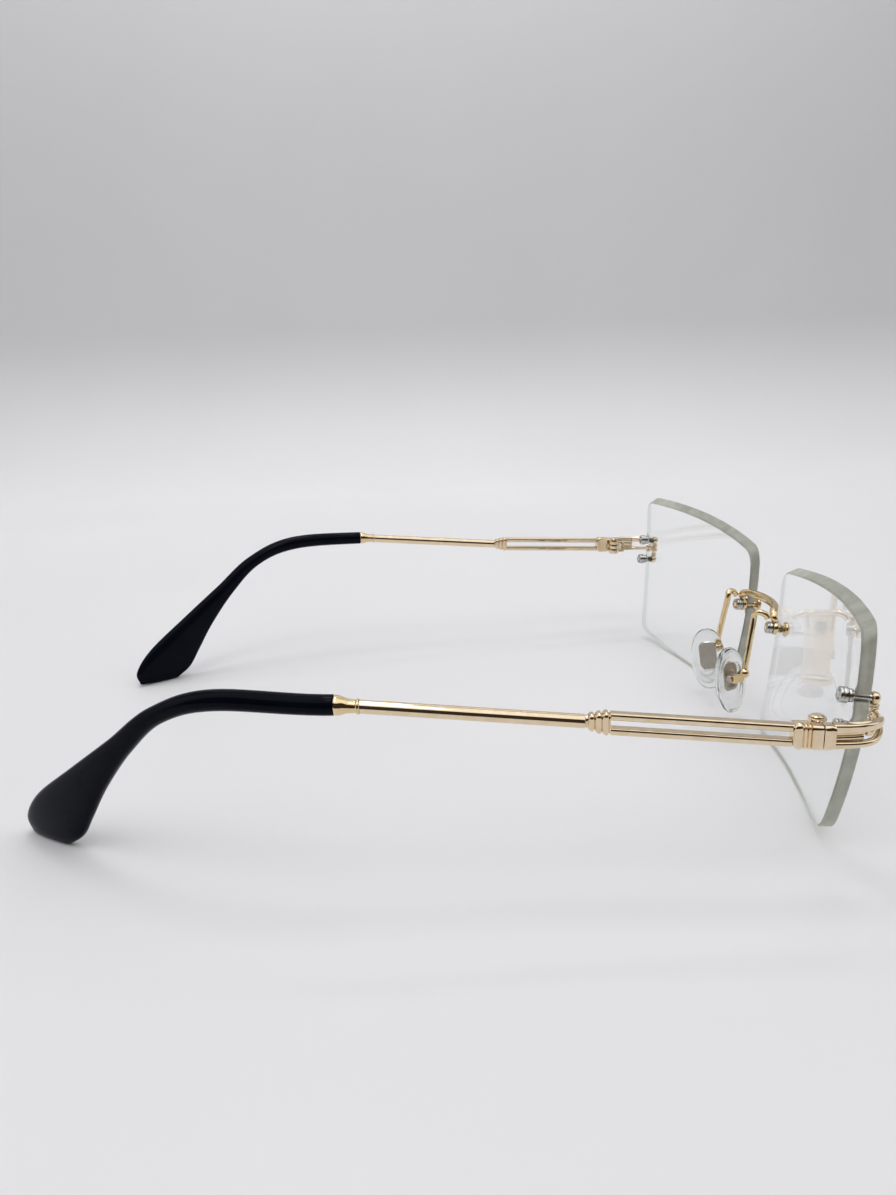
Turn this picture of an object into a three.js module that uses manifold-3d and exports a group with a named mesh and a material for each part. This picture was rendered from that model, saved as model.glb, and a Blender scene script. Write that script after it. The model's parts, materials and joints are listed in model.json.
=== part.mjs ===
// Rimless eyeglasses with clear lenses, wire bridge, rocking nose pads and
// folding temples. Millimetres, +Z up, the front faces -Y, the wearer's left is +X.
import * as THREE from 'three';
import { mergeVertices } from 'three/addons/utils/BufferGeometryUtils.js';
import Module from 'manifold-3d';

const wasm = await Module();
wasm.setup();

// ---- driving dimensions -------------------------------------------------
const GAP = 0.05;                 // clearance between faces that touch
const FIT = 0.06;                 // radial clearance of a pin in its bore

const LENS_AXIS = [36.4, -8.42, 20.37];   // middle of a lens, on its front face
const LENS_WRAP = 0.186;          // how far each lens turns back at the outside
const LENS_TILT = 0.096;          // how far the top of a lens leans forward
const LENS_RADIUS = 154;          // radius of the front surface
const LENS_THICK = 2.35;
const TOP_BEVEL = 1.25;           // the top edge is ground down towards the back
const STUD_R = 0.68;
const SLOT_R = 0.8;               // open slots in the lens edge that take the studs
const LENS_MIDDLE = [36, 20];     // the lens surface shrinks towards here, as x and z
const CORNER_STEPS = 5;           // points around a lens corner and along an edge
const EDGE_STEPS = 7;

const HINGE_X = 67.3;             // hinge axis, from the middle of the glasses
const HINGE_Y = 9.4;
const TEMPLE_TURN = 0.1194;       // the temples run inwards towards the ears
const BAR_OFFSET = 2.7;           // from the hinge axis out to the temple's middle
const SPLIT_Z = 26.3;             // height of the temple at the hinge
const TEMPLE_RISE = 0.0737;       // slope of the double bars
const KNUCKLE_R = 1.42;

const CAP_END = 1.9;              // places along the temple, from the hinge axis
const FRONT_COLLAR_END = 4.75;
const REAR_COLLAR_START = 32.7;
const REAR_COLLAR_END = 36.7;
const FERRULE_START = 71.9;
const TIP_START = 75.9;
const ROD_R = 1.14;
const CORE_R = 0.6;
const CORE_STEPS = 12;

const PAD_SIZE = [2.8, 8.0, 16.0];
const PAD_CENTRE = [7.2, 0.3, 11.1];

// ---- small tools --------------------------------------------------------
const V = (x, y, z) => new THREE.Vector3(x, y, z);

// Bridges a list of rings of equal length into one closed body.
function skin(rings) {
  const count = rings[0].length;
  const points = [];
  const faces = [];
  rings.forEach((ring) => ring.forEach((p) => points.push(p.x, p.y, p.z)));
  for (let i = 0; i + 1 < rings.length; i += 1) {
    for (let k = 0; k < count; k += 1) {
      const a = i * count + k;
      const b = i * count + ((k + 1) % count);
      faces.push(a, b, b + count, a, b + count, a + count);
    }
  }
  [0, rings.length - 1].forEach((i) => {
    const middle = V(0, 0, 0);
    rings[i].forEach((p) => middle.addScaledVector(p, 1 / count));
    const centre = points.length / 3;
    points.push(middle.x, middle.y, middle.z);
    for (let k = 0; k < count; k += 1) {
      const a = i * count + k;
      const b = i * count + ((k + 1) % count);
      faces.push(...(i === 0 ? [centre, b, a] : [centre, a, b]));
    }
  });
  const geometry = new THREE.BufferGeometry();
  geometry.setAttribute('position', new THREE.Float32BufferAttribute(points, 3));
  geometry.setIndex(faces);
  return outward(geometry);
}

// Turns a closed body's faces outwards.
function outward(geometry) {
  const p = geometry.getAttribute('position');
  const index = geometry.getIndex();
  const [a, b, c] = [V(0, 0, 0), V(0, 0, 0), V(0, 0, 0)];
  let volume = 0;
  for (let i = 0; i < index.count; i += 3) {
    a.fromBufferAttribute(p, index.getX(i));
    b.fromBufferAttribute(p, index.getX(i + 1));
    c.fromBufferAttribute(p, index.getX(i + 2));
    volume += a.dot(b.cross(c));
  }
  if (volume < 0) {
    const turned = Array.from(index.array);
    for (let i = 0; i < turned.length; i += 3) {
      [turned[i + 1], turned[i + 2]] = [turned[i + 2], turned[i + 1]];
    }
    geometry.setIndex(turned);
  }
  return geometry;
}

function toSolid(geometry) {
  const bare = geometry.clone();
  bare.deleteAttribute('normal');
  bare.deleteAttribute('uv');
  const merged = outward(mergeVertices(bare, 1e-5));
  return new wasm.Manifold(new wasm.Mesh({
    numProp: 3,
    vertProperties: new Float32Array(merged.getAttribute('position').array),
    triVerts: new Uint32Array(merged.getIndex().array),
  }));
}

function fromSolid(solid) {
  const mesh = solid.getMesh();
  const geometry = new THREE.BufferGeometry();
  geometry.setAttribute('position', new THREE.BufferAttribute(mesh.vertProperties, 3));
  geometry.setIndex(new THREE.BufferAttribute(mesh.triVerts, 1));
  return geometry;
}

const join = (...pieces) => fromSolid(pieces.map(toSolid).reduce((a, b) => a.add(b)));

const cut = (piece, ...cutters) => fromSolid(
  cutters.map(toSolid).reduce((a, b) => a.subtract(b), toSolid(piece)),
);

// A rounded rectangle across a piece: half sizes, corner radius, corner steps.
function roundRect(halfX, halfZ, corner, steps = 2) {
  const outline = [];
  const r = Math.min(corner, halfX, halfZ);
  [[1, 1], [-1, 1], [-1, -1], [1, -1]].forEach(([sx, sz], quarter) => {
    for (let k = 0; k <= steps; k += 1) {
      const angle = (Math.PI / 2) * (quarter + k / steps);
      outline.push([
        sx * (halfX - r) + r * Math.cos(angle),
        sz * (halfZ - r) + r * Math.sin(angle),
      ]);
    }
  });
  return outline;
}

function circle(radius, sides = 12) {
  return Array.from({ length: sides }, (_, k) => {
    const angle = (2 * Math.PI * k) / sides;
    return [radius * Math.cos(angle), radius * Math.sin(angle)];
  });
}

// A piece along local Y, from stations [y, x, z, outline].
const loft = (stations) => skin(stations.map(([y, x, z, outline]) => (
  outline.map(([a, c]) => V(x + a, y, z + c)))));

// A piece whose section follows a path and stays upright.
function sweep(path, steps, outlineAt) {
  const rings = [];
  for (let i = 0; i <= steps; i += 1) {
    const t = i / steps;
    const along = path.getTangentAt(t);
    const side = V(0, 0, 1).cross(along).normalize();
    if (side.lengthSq() < 0.5) side.set(1, 0, 0);
    const up = along.clone().cross(side).normalize();
    const at = path.getPointAt(t);
    rings.push(outlineAt(t).map(([a, c]) => (
      at.clone().addScaledVector(side, a).addScaledVector(up, c))));
  }
  return skin(rings);
}

// A turned piece: profile [radius, height] from axis to axis, around local Z.
function turned(profile, sides = 14) {
  const points = profile.map(([r, h]) => new THREE.Vector2(r, h));
  return new THREE.LatheGeometry(points, sides).rotateX(Math.PI / 2);
}

const disc = (radius, from, to, sides = 14) => turned(
  [[0, from], [radius, from], [radius, to], [0, to]], sides);

const box = (x0, x1, y0, y1, z0, z1) => new THREE.BoxGeometry(x1 - x0, y1 - y0, z1 - z0)
  .translate((x0 + x1) / 2, (y0 + y1) / 2, (z0 + z1) / 2);

// ---- materials ----------------------------------------------------------
const metal = (color, roughness) => new THREE.MeshStandardMaterial(
  { color, roughness, metalness: 1 });
const gold = metal(0xd9b981, 0.18);
const goldDeep = metal(0xcfa968, 0.2);
const silver = metal(0xb9b8b4, 0.28);
const steel = metal(0xb4aba0, 0.35);
const clear = new THREE.MeshStandardMaterial(
  { color: 0xeef1ee, roughness: 0.05, metalness: 0, transparent: true, opacity: 0.25 });
const silicone = new THREE.MeshStandardMaterial(
  { color: 0xe6e8e6, roughness: 0.2, metalness: 0, transparent: true, opacity: 0.4 });
const acetate = new THREE.MeshStandardMaterial(
  { color: 0x0b0d12, roughness: 0.22, metalness: 0 });

// ---- lens ---------------------------------------------------------------
const lensFrame = new THREE.Matrix4().makeRotationFromEuler(
  new THREE.Euler(LENS_TILT, 0, LENS_WRAP, 'XYZ')).setPosition(...LENS_AXIS);
const inLensFrame = (geometry) => geometry.applyMatrix4(lensFrame);
const sag = (u, v, radius) => radius - Math.sqrt(radius * radius - u * u - v * v);
const lensFront = (u, v) => sag(u, v, LENS_RADIUS);
const lensBack = (u, v) => LENS_THICK + sag(u, v, LENS_RADIUS - LENS_THICK);

// Where a flat face of radius r sits against the curved lens at a stud.
const frontSeat = (u, v, r) => lensFront(Math.abs(u) - r, Math.abs(v) - r) - GAP;
const backSeat = (u, v, r) => lensBack(Math.abs(u) + r, Math.abs(v) + r) + GAP;

// Studs that hold a lens, across and up from its middle.
const OUTER_STUD_U = 26.35;
const UPPER_STUD_V = 7.85;
const LOWER_STUD_V = 2.15;
const NOSE_STUD_U = -26.3;
const NOSE_STUD_V = 3.5;

// Front outline of the left lens, seen from the front, as x and z. The lower edge is flat
// where the glasses rest and rises towards the outside.
function lensOutline() {
  const corners = [
    { at: [9.15, 37.7], r: 3.6, bulge: 1.25 },
    { at: [63.15, 41.75], r: 2.9, bulge: 1.35 },
    { at: [58.9, 2.6], r: 3.2, bulge: 0 },
    { at: [43, 0], r: 8, bulge: 0 },
    { at: [10.9, 0], r: 4.2, bulge: 1.0 },
  ];
  const points = [];
  corners.forEach((corner, i) => {
    const next = corners[(i + 1) % corners.length];
    const last = corners.at(i - 1);
    const onEdge = (from, to, s) => {
      const [dx, dz] = [to.at[0] - from.at[0], to.at[1] - from.at[1]];
      const out = from.bulge * 4 * s * (1 - s);
      const length = Math.hypot(dx, dz);
      return [from.at[0] + dx * s - (dz / length) * out,
        from.at[1] + dz * s + (dx / length) * out];
    };
    const span = (a, b) => Math.hypot(a.at[0] - b.at[0], a.at[1] - b.at[1]);
    const before = onEdge(last, corner, 1 - corner.r / span(last, corner));
    const after = onEdge(corner, next, corner.r / span(corner, next));
    for (let k = 0; k <= CORNER_STEPS; k += 1) {
      const t = k / CORNER_STEPS;
      points.push([0, 1].map((j) => (
        (1 - t) ** 2 * before[j] + 2 * t * (1 - t) * corner.at[j] + t * t * after[j])));
    }
    const first = corner.r / span(corner, next);
    const end = 1 - next.r / span(corner, next);
    for (let k = 1; k < EDGE_STEPS; k += 1) {
      points.push(onEdge(corner, next, first + ((end - first) * k) / EDGE_STEPS));
    }
  });
  return points;
}

// Depth of the front or back surface at a place seen from the front.
const sphereCentre = V(0, LENS_RADIUS, 0).applyMatrix4(lensFrame);
const surfaceY = (x, z, radius) => sphereCentre.y - Math.sqrt(
  radius * radius - (x - sphereCentre.x) ** 2 - (z - sphereCentre.z) ** 2);

function lens() {
  const [midX, midZ] = LENS_MIDDLE;
  const front = lensOutline();
  const lean = Math.sin(LENS_WRAP) * LENS_THICK;
  const lower = (z) => (z > midZ ? z - (TOP_BEVEL * (z - midZ)) / midZ : z);
  const back = front.map(([x, z]) => [x - lean, lower(z)]);
  const ring = (outline, scale, radius) => outline.map(([x, z]) => {
    const px = midX + (x - midX) * scale;
    const pz = midZ + (z - midZ) * scale;
    return V(px, surfaceY(px, pz, radius), pz);
  });
  const scales = [0.42, 0.78, 1];
  const body = skin([
    ...scales.map((s) => ring(front, s, LENS_RADIUS)),
    ...scales.reverse().map((s) => ring(back, s, LENS_RADIUS - LENS_THICK)),
  ]);
  const slot = (u, v, way) => inLensFrame(join(
    disc(SLOT_R, -2, 9, 16).rotateX(-Math.PI / 2).translate(u, 0, v),
    box(Math.min(u, u + way), Math.max(u, u + way), -2, 9, v - SLOT_R, v + SLOT_R)));
  return cut(body, slot(OUTER_STUD_U, UPPER_STUD_V, 3), slot(OUTER_STUD_U, LOWER_STUD_V, 3),
    slot(NOSE_STUD_U, NOSE_STUD_V, -3));
}

// ---- studs, sleeves and nuts, along the lens axis (local Y of its frame) --
const alongLens = (geometry, u, v) => inLensFrame(
  geometry.rotateX(-Math.PI / 2).translate(u, 0, v));

const stud = (u, v, from) => alongLens(
  disc(STUD_R, from, backSeat(u, v, 1) + 2.45, 14), u, v);

function ringAlong(outer, inner, from, to, sides) {
  return turned([[inner, from], [outer(0), from], [outer(1), to], [inner, to], [inner, from]],
    sides);
}

const sleeve = (u, v) => alongLens(ringAlong((t) => 1.12 + 0.12 * t, STUD_R + FIT,
  backSeat(u, v, 1), backSeat(u, v, 1) + 0.75, 14), u, v);

function nut(u, v, from, length) {
  const inner = STUD_R + FIT;
  return alongLens(turned([[inner, from], [1.25, from], [1.38, from + 0.2],
    [1.38, from + length * 0.72], [1.15, from + length], [inner, from + length],
    [inner, from]], 12), u, v);
}

// ---- yoke: beaded column with a domed eyelet at each end ----------------
const YOKE_V = (UPPER_STUD_V + LOWER_STUD_V) / 2;
const YOKE_Y = 1.42;

function yoke() {
  const half = (UPPER_STUD_V - LOWER_STUD_V) / 2;
  const bead = (at) => [[0.52, at - 0.24], [0.78, at], [0.52, at + 0.24]];
  const barrel = [[0.62, -0.6], [0.92, -0.25], [0.92, 0.25], [0.62, 0.6]];
  const profile = [[0, -half], [0.5, -half], ...bead(-1.62), ...bead(-1.12), ...barrel,
    ...bead(1.12), ...bead(1.62), [0.5, half], [0, half]];
  const column = turned(profile, 9).translate(OUTER_STUD_U, YOKE_Y, YOKE_V);
  const eyelets = [UPPER_STUD_V, LOWER_STUD_V].map((v) => {
    const back = frontSeat(OUTER_STUD_U, v, 1);
    return turned([[0, back - 1.45], [0.55, back - 1.38], [0.92, back - 1.1],
      [1.08, back - 0.7], [1.08, back - 0.1], [0.98, back], [0, back]], 12)
      .rotateX(-Math.PI / 2).translate(OUTER_STUD_U, 0, v);
  });
  return inLensFrame(join(column, ...eyelets));
}

// ---- bridge -------------------------------------------------------------
const lensPoint = (u, y, v) => V(u, y, v).applyMatrix4(lensFrame);
const bridgeSeat = backSeat(NOSE_STUD_U, NOSE_STUD_V, 1.2);

function bridgeEyelet() {
  return alongLens(ringAlong(() => 1.5, STUD_R + FIT, bridgeSeat, bridgeSeat + 0.9, 12),
    NOSE_STUD_U, NOSE_STUD_V);
}

function bridge() {
  const foot = lensPoint(NOSE_STUD_U, bridgeSeat + 0.3, NOSE_STUD_V + 1.35);
  const half = [foot, V(9.45, -7.95, 26.35), V(8.0, -8.5, 27.2), V(4.4, -10.15, 27.4)];
  const other = half.map((p) => V(-p.x, p.y, p.z)).reverse();
  const path = new THREE.CatmullRomCurve3([...half, V(0, -10.75, 27.4), ...other]);
  const wire = sweep(path, 24, (t) => circle(0.58 + 0.42 * Math.sin(Math.PI * t) ** 0.6, 10));
  const mirror = new THREE.Matrix4().makeScale(-1, 1, 1);
  const leftEye = bridgeEyelet();
  const rightEye = bridgeEyelet().applyMatrix4(mirror);
  const bore = () => alongLens(disc(STUD_R + FIT, 0, 9, 14), NOSE_STUD_U, NOSE_STUD_V);
  return cut(join(wire, leftEye, outward(rightEye)), bore(),
    outward(bore().applyMatrix4(mirror)));
}

function bridgeScrew() {
  const seat = frontSeat(NOSE_STUD_U, NOSE_STUD_V, 1.5);
  return alongLens(turned([[0, seat - 1.3], [0.75, seat - 1.22], [1.35, seat - 0.95],
    [1.72, seat - 0.5], [1.66, seat - 0.14], [1.5, seat], [STUD_R, seat],
    [STUD_R, bridgeSeat + 2.45], [0, bridgeSeat + 2.45]], 12), NOSE_STUD_U, NOSE_STUD_V);
}

// ---- nose pad, in its own frame: X away from the nose, Y back, Z up ------
const padFrame = new THREE.Matrix4().makeRotationFromEuler(
  new THREE.Euler(-0.12, -0.06, -0.31, 'ZXY')).setPosition(...PAD_CENTRE);
const PIN_AT = [2.05, 0, 1.3];
const inPadFrame = (geometry) => geometry.applyMatrix4(padFrame);
const padPoint = (x, y, z) => V(x, y, z).applyMatrix4(padFrame);
const BALL_AT = [2.7, -2.0, 1.9];
const BALL_R = 1.18;

const pinRod = (radius, y0, y1, sides = 12) => disc(radius, y0, y1, sides)
  .rotateX(-Math.PI / 2).translate(...PIN_AT);

function padInsert() {
  const plate = skin([0.62, -0.02].map((x) => roundRect(1.9, 3.4, 1.5, 3)
    .map(([y, z]) => V(x, y, z + 1.0))));
  const lug = box(0.4, 2.6, -0.72, 0.72, 0.55, 2.05);
  return inPadFrame(cut(join(plate, lug), pinRod(0.42 + FIT, -2, 2)));
}

function nosePad() {
  const [x, y, z] = PAD_SIZE.map((size) => size / 2);
  const body = new THREE.SphereGeometry(1, 16, 10).rotateX(Math.PI / 2).scale(x, y, z);
  const pocket = skin([0.62 + GAP, -0.02 - GAP].map((px) => roundRect(1.95, 3.45, 1.5, 3)
    .map(([py, pz]) => V(px, py, pz + 1.0))));
  const mouth = box(0.4, 2.6, -0.78, 0.78, 0.48, 2.12);
  return inPadFrame(cut(body, join(pocket, mouth)));
}

function padMount() {
  const shell = box(1.72, 3.5, -1.35, 1.35, 0.35, 2.25);
  const hollow = box(1.5, 2.95, -0.8, 0.8, 0.2, 2.4);
  const ball = new THREE.SphereGeometry(BALL_R, 12, 8).translate(...BALL_AT);
  const cupped = cut(join(shell, ball), hollow, pinRod(0.42 + FIT, -2.2, 2.2),
    pinRod(0.85, -3.4, -1.35 - 0.01));
  return inPadFrame(cupped);
}

const padScrew = () => inPadFrame(join(pinRod(0.42, -1.3, 1.5), pinRod(0.8, 1.4, 1.85, 14)));

function padArm() {
  const ball = padPoint(...BALL_AT);
  const top = V(8.1, -4.05, 26.3);
  const down = top.clone().sub(ball).normalize();
  const path = new THREE.CatmullRomCurve3([
    V(9.55, -6.6, 26.25), V(9.45, -6.1, 27.0), V(9.1, -5.1, 27.5), V(8.5, -4.35, 27.25), top,
    top.clone().lerp(ball, 0.3), top.clone().lerp(ball, 0.65),
    ball.clone().addScaledVector(down, BALL_R + 0.12),
  ], false, 'centripetal');
  return sweep(path, 16, () => circle(0.7, 8));
}

// ---- endpiece and hinge, in the temple frame ----------------------------
const templeFrame = new THREE.Matrix4().makeRotationZ(TEMPLE_TURN)
  .setPosition(HINGE_X, HINGE_Y, 0);
const inTempleFrame = (geometry) => geometry.applyMatrix4(templeFrame);

function endpiece() {
  const outline = roundRect(1.2, 2.1, 0.75);
  const neck = roundRect(1.1, 1.95, 0.7);
  const block = inTempleFrame(loft([
    [-GAP, BAR_OFFSET, SPLIT_Z, outline], [-1.3, BAR_OFFSET, SPLIT_Z, outline],
    [-1.8, BAR_OFFSET, SPLIT_Z, neck]]));
  const yokeBoss = lensPoint(OUTER_STUD_U + 0.97, YOKE_Y, YOKE_V);
  const rail = (rise, halfX, halfZ) => {
    const path = new THREE.CatmullRomCurve3([
      V(70.05, 8.1, SPLIT_Z + rise), V(70.3, 5.4, SPLIT_Z + rise),
      V(70.2, 2.9, SPLIT_Z + rise), V(69.3, 0.75, SPLIT_Z + rise * 0.94),
      V(67.3, -1.0, SPLIT_Z + rise * 0.72),
      V(65.0, -2.15, 25.9 + rise * 0.45),
      yokeBoss.clone().add(V(0.05, 0, rise * 0.2))], false, 'centripetal');
    return sweep(path, 14, (t) => roundRect(halfX * (1 - 0.35 * t), halfZ * (1 - 0.35 * t),
      0.5, 1));
  };
  const webPath = new THREE.CatmullRomCurve3([
    V(69.85, 8.3, SPLIT_Z), V(70.0, 5.4, SPLIT_Z), V(69.95, 3.2, SPLIT_Z)]);
  const web = sweep(webPath, 3, () => roundRect(0.5, 1.1, 0.3, 1));
  return join(block, rail(1.3, 0.8, 0.82), rail(-1.5, 0.72, 0.6), web);
}

const KNUCKLES = [24.25, 25.7, 26.95, 28.4];    // bottom, two joints, top

function knuckle(from, to) {
  return disc(KNUCKLE_R, from, to, 16);
}

const hingeBore = () => disc(0.6 + FIT, 20, 32, 16);

function frontLeaf() {
  const [bottom, low, high, top] = KNUCKLES;
  const plate = box(0.72, 1.45, -3.6, 0, bottom, top - 0.75);
  const room = box(-2, 2, -KNUCKLE_R - 0.25, 2, low - GAP, high + GAP);
  return inTempleFrame(cut(
    join(knuckle(bottom, low - GAP), knuckle(high + GAP, top), plate), room, hingeBore()));
}

function templeLeaf() {
  const [, low, high] = KNUCKLES;
  const finger = box(0.72, 1.45, 0, 2.4, low, high);
  const plate = box(0.72, 1.45, KNUCKLE_R + 0.3, 4.3, SPLIT_Z - 1.6, SPLIT_Z + 1.9);
  return inTempleFrame(cut(join(knuckle(low, high), finger, plate), hingeBore()));
}

function hingeScrew() {
  const [bottom, , , top] = KNUCKLES;
  const head = disc(1.1, top + GAP, top + 0.4, 16);
  const slot = box(-1.3, 1.3, -0.15, 0.15, top + 0.26, top + 1);
  return inTempleFrame(cut(join(disc(0.6, bottom + 0.1, top + 0.3, 14), head), slot));
}

// ---- temple -------------------------------------------------------------
const riseAt = (y) => SPLIT_Z + TEMPLE_RISE * y;

// Stations of a ribbed collar: [place, half thickness, half height].
const ribbed = (stations) => inTempleFrame(loft(stations.map(([y, halfX, halfZ]) => (
  [y, BAR_OFFSET, riseAt(y), roundRect(halfX, halfZ, 0.75)]))));

function frontCollar() {
  const stations = [[GAP, 1.2, 2.1], [CAP_END, 1.2, 2.1]];
  [0, 1].forEach((i) => {
    const y = CAP_END + i * 0.62;
    stations.push([y + 0.1, 1.08, 1.98], [y + 0.22, 1.22, 2.14], [y + 0.46, 1.22, 2.14],
      [y + 0.58, 1.08, 1.98]);
  });
  stations.push([3.35, 1.24, 2.2], [3.85, 1.24, 2.2], [4.45, 1.12, 1.98],
    [FRONT_COLLAR_END - GAP, 1.0, 1.85]);
  return ribbed(stations);
}

function rearCollar() {
  const stations = [[REAR_COLLAR_START + GAP, 1.0, 1.85]];
  [[1.14, 1.98], [1.1, 1.78], [1.08, 1.5]].forEach(([halfX, halfZ], i) => {
    const y = REAR_COLLAR_START + 0.45 + i * 1.16;
    stations.push([y, halfX - 0.14, halfZ - 0.2], [y + 0.16, halfX, halfZ],
      [y + 0.8, halfX, halfZ - 0.1], [y + 1.0, halfX - 0.14, halfZ - 0.3]);
  });
  stations.push([REAR_COLLAR_END - GAP, 0.85, 1.0]);
  return ribbed(stations);
}

const bar = (rise) => {
  const outline = roundRect(0.85, 0.6, 0.35);
  return inTempleFrame(loft([FRONT_COLLAR_END, REAR_COLLAR_START].map((y) => (
    [y, BAR_OFFSET, riseAt(y) + rise, outline]))));
};

// Middle of the rod, ferrule and core wire in the temple frame.
const rodMiddle = (y) => {
  const t = (y - REAR_COLLAR_END) / (TIP_START - REAR_COLLAR_END);
  return [BAR_OFFSET + 2.48 * t, riseAt(REAR_COLLAR_END) + 4.0 * t];
};

const round = (stations, sides = 12) => loft(stations.map(([y, r]) => (
  [y, ...rodMiddle(y), circle(r, sides)])));

const rod = () => inTempleFrame(round(
  [[REAR_COLLAR_END + GAP, ROD_R], [55, ROD_R], [FERRULE_START - GAP, ROD_R - 0.04]]));

// The tip's edges in side view: upper and lower edge, each as y and z, in the glasses' frame.
const TIP_EDGES = [
  [[85.4, 34.7], [85.4, 31.3]], [[105, 34.9], [104, 31.4]], [[116.4, 30.7], [114.2, 28.2]],
  [[125.2, 23.5], [121.4, 21.5]], [[134.0, 16.4], [127.4, 13.6]], [[142.6, 9.2], [131.3, 7.0]],
  [[146.6, 3.8], [133.9, 2.6]], [[145.9, 0.28], [137.0, 0.03]],
];
const TIP_STEPS = 14;

// The temple bends inwards behind the ear.
function tipX(y) {
  const d = Math.max(0, y - 85.4);
  return 63.4 - 0.057 * d - 0.0207 * d ** 1.7;
}

function tipStations() {
  const toTemple = templeFrame.clone().invert();
  const curves = [0, 1].map((edge) => new THREE.CatmullRomCurve3(
    TIP_EDGES.map((pair) => V(0, ...pair[edge]))));
  const edges = Array.from({ length: TIP_STEPS + 1 }, (_, i) => {
    const pair = curves.map((curve) => curve.getPoint(i / TIP_STEPS));
    return pair.map((point) => point.setX(tipX(point.y)).applyMatrix4(toTemple));
  });
  const [startX, startZ] = rodMiddle(TIP_START);
  const shift = V(startX, TIP_START + GAP, startZ)
    .sub(edges[0][0].clone().lerp(edges[0][1], 0.5));
  return edges.map(([upper, lower], i) => {
    const blend = Math.max(0, 1 - i / 4);
    const ease = shift.clone().multiplyScalar(blend);
    return [upper.add(ease), lower.add(ease)];
  });
}

const tipPairs = tipStations();
const tipMiddles = tipPairs.map(([upper, lower]) => upper.clone().lerp(lower, 0.5));

// Half the tip's thickness, from its start at 0 to its rounded end at 1.
const tipHalf = (t) => (1.7 + 0.25 * t) * Math.sqrt(1 - (Math.max(0, t - 0.7) / 0.33) ** 2);

function tip() {
  const rings = tipPairs.map(([upper, lower], i) => {
    const along = tipMiddles[Math.min(i + 1, TIP_STEPS)].clone()
      .sub(tipMiddles[Math.max(i - 1, 0)]);
    const half = upper.clone().sub(lower).multiplyScalar(0.5);
    const across = i === 0 ? V(1, 0, 0) : half.clone().cross(along).normalize();
    if (across.x < 0) across.negate();
    return circle(1, 12).map(([a, c]) => tipMiddles[i].clone()
      .addScaledVector(across, a * tipHalf(i / TIP_STEPS)).addScaledVector(half, c));
  });
  return inTempleFrame(cut(skin(rings), coreWire(CORE_R + FIT, 0.4)));
}

// From the ferrule into the tip, along the tip's middle.
function corePath() {
  const start = FERRULE_START + GAP;
  const [x0, z0] = rodMiddle(start);
  const [x1, z1] = rodMiddle(TIP_START);
  return new THREE.CatmullRomCurve3([V(x0, start, z0), V(x1, TIP_START, z1),
    ...tipMiddles.slice(1, 7)], false, 'centripetal');
}

// The wire that stiffens the tip, or its bore, which reaches further by the last number.
function coreWire(radius, further = 0) {
  const path = corePath();
  const rings = [];
  for (let i = 0; i <= CORE_STEPS; i += 1) {
    const t = i / CORE_STEPS;
    const at = path.getPointAt(t);
    const along = i === 0 ? V(0, 1, 0) : path.getTangentAt(t);
    if (i === CORE_STEPS) at.addScaledVector(along, further);
    const side = V(1, 0, 0).cross(along).normalize();
    const up = along.clone().cross(side).normalize();
    rings.push(circle(radius, 8).map(([a, c]) => (
      at.clone().addScaledVector(side, a).addScaledVector(up, c))));
  }
  return skin(rings);
}

function ferrule() {
  const body = round([[FERRULE_START, 1.22], [FERRULE_START + 0.3, 1.3],
    [FERRULE_START + 0.7, 1.1], [FERRULE_START + 1.6, 1.15], [FERRULE_START + 3.0, 1.5],
    [TIP_START - 0.5, 1.68], [TIP_START - GAP, 1.68]]);
  return inTempleFrame(cut(body, coreWire(CORE_R + FIT),
    loft([[FERRULE_START - 1, ...rodMiddle(FERRULE_START), circle(CORE_R + FIT, 8)],
      [FERRULE_START + 0.3, ...rodMiddle(FERRULE_START + 0.3), circle(CORE_R + FIT, 8)]])));
}

// ---- assembly -----------------------------------------------------------
function piece(name, geometry, material) {
  const mesh = new THREE.Mesh(geometry, material);
  mesh.name = name;
  return mesh;
}

// Everything that exists once on each side of the glasses.
function half(side) {
  const group = new THREE.Group();
  group.scale.x = side === 'left' ? 1 : -1;
  const add = (name, geometry, material) => group.add(
    piece(`${name}_${side}`, geometry, material));
  const u = OUTER_STUD_U;
  add('lens', lens(), clear);
  add('lens_yoke', yoke(), gold);
  [['upper', UPPER_STUD_V], ['lower', LOWER_STUD_V]].forEach(([which, v]) => {
    add(`${which}_stud`, stud(u, v, frontSeat(u, v, 1) + GAP), silver);
    add(`${which}_sleeve`, sleeve(u, v), silver);
    add(`${which}_nut`, nut(u, v, backSeat(u, v, 1) + 0.75 + GAP, 1.6), silver);
  });
  add('bridge_screw', bridgeScrew(), goldDeep);
  add('bridge_nut', nut(NOSE_STUD_U, NOSE_STUD_V, bridgeSeat + 0.9 + GAP, 1.5), silver);
  add('pad_arm', padArm(), goldDeep);
  add('pad_mount', padMount(), goldDeep);
  add('pad_screw', padScrew(), steel);
  add('pad_insert', padInsert(), steel);
  add('nose_pad', nosePad(), silicone);
  add('endpiece', endpiece(), gold);
  add('hinge_front_leaf', frontLeaf(), gold);
  add('hinge_screw', hingeScrew(), gold);
  add('hinge_temple_leaf', templeLeaf(), gold);
  add('front_collar', frontCollar(), gold);
  add('upper_bar', bar(1.25), gold);
  add('lower_bar', bar(-1.25), gold);
  add('rear_collar', rearCollar(), gold);
  add('temple_rod', rod(), gold);
  add('ferrule', ferrule(), goldDeep);
  add('core_wire', inTempleFrame(coreWire(CORE_R)), steel);
  add('temple_tip', tip(), acetate);
  return group;
}

const glasses = new THREE.Group();
glasses.add(piece('bridge', bridge(), goldDeep), half('right'), half('left'));

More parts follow.
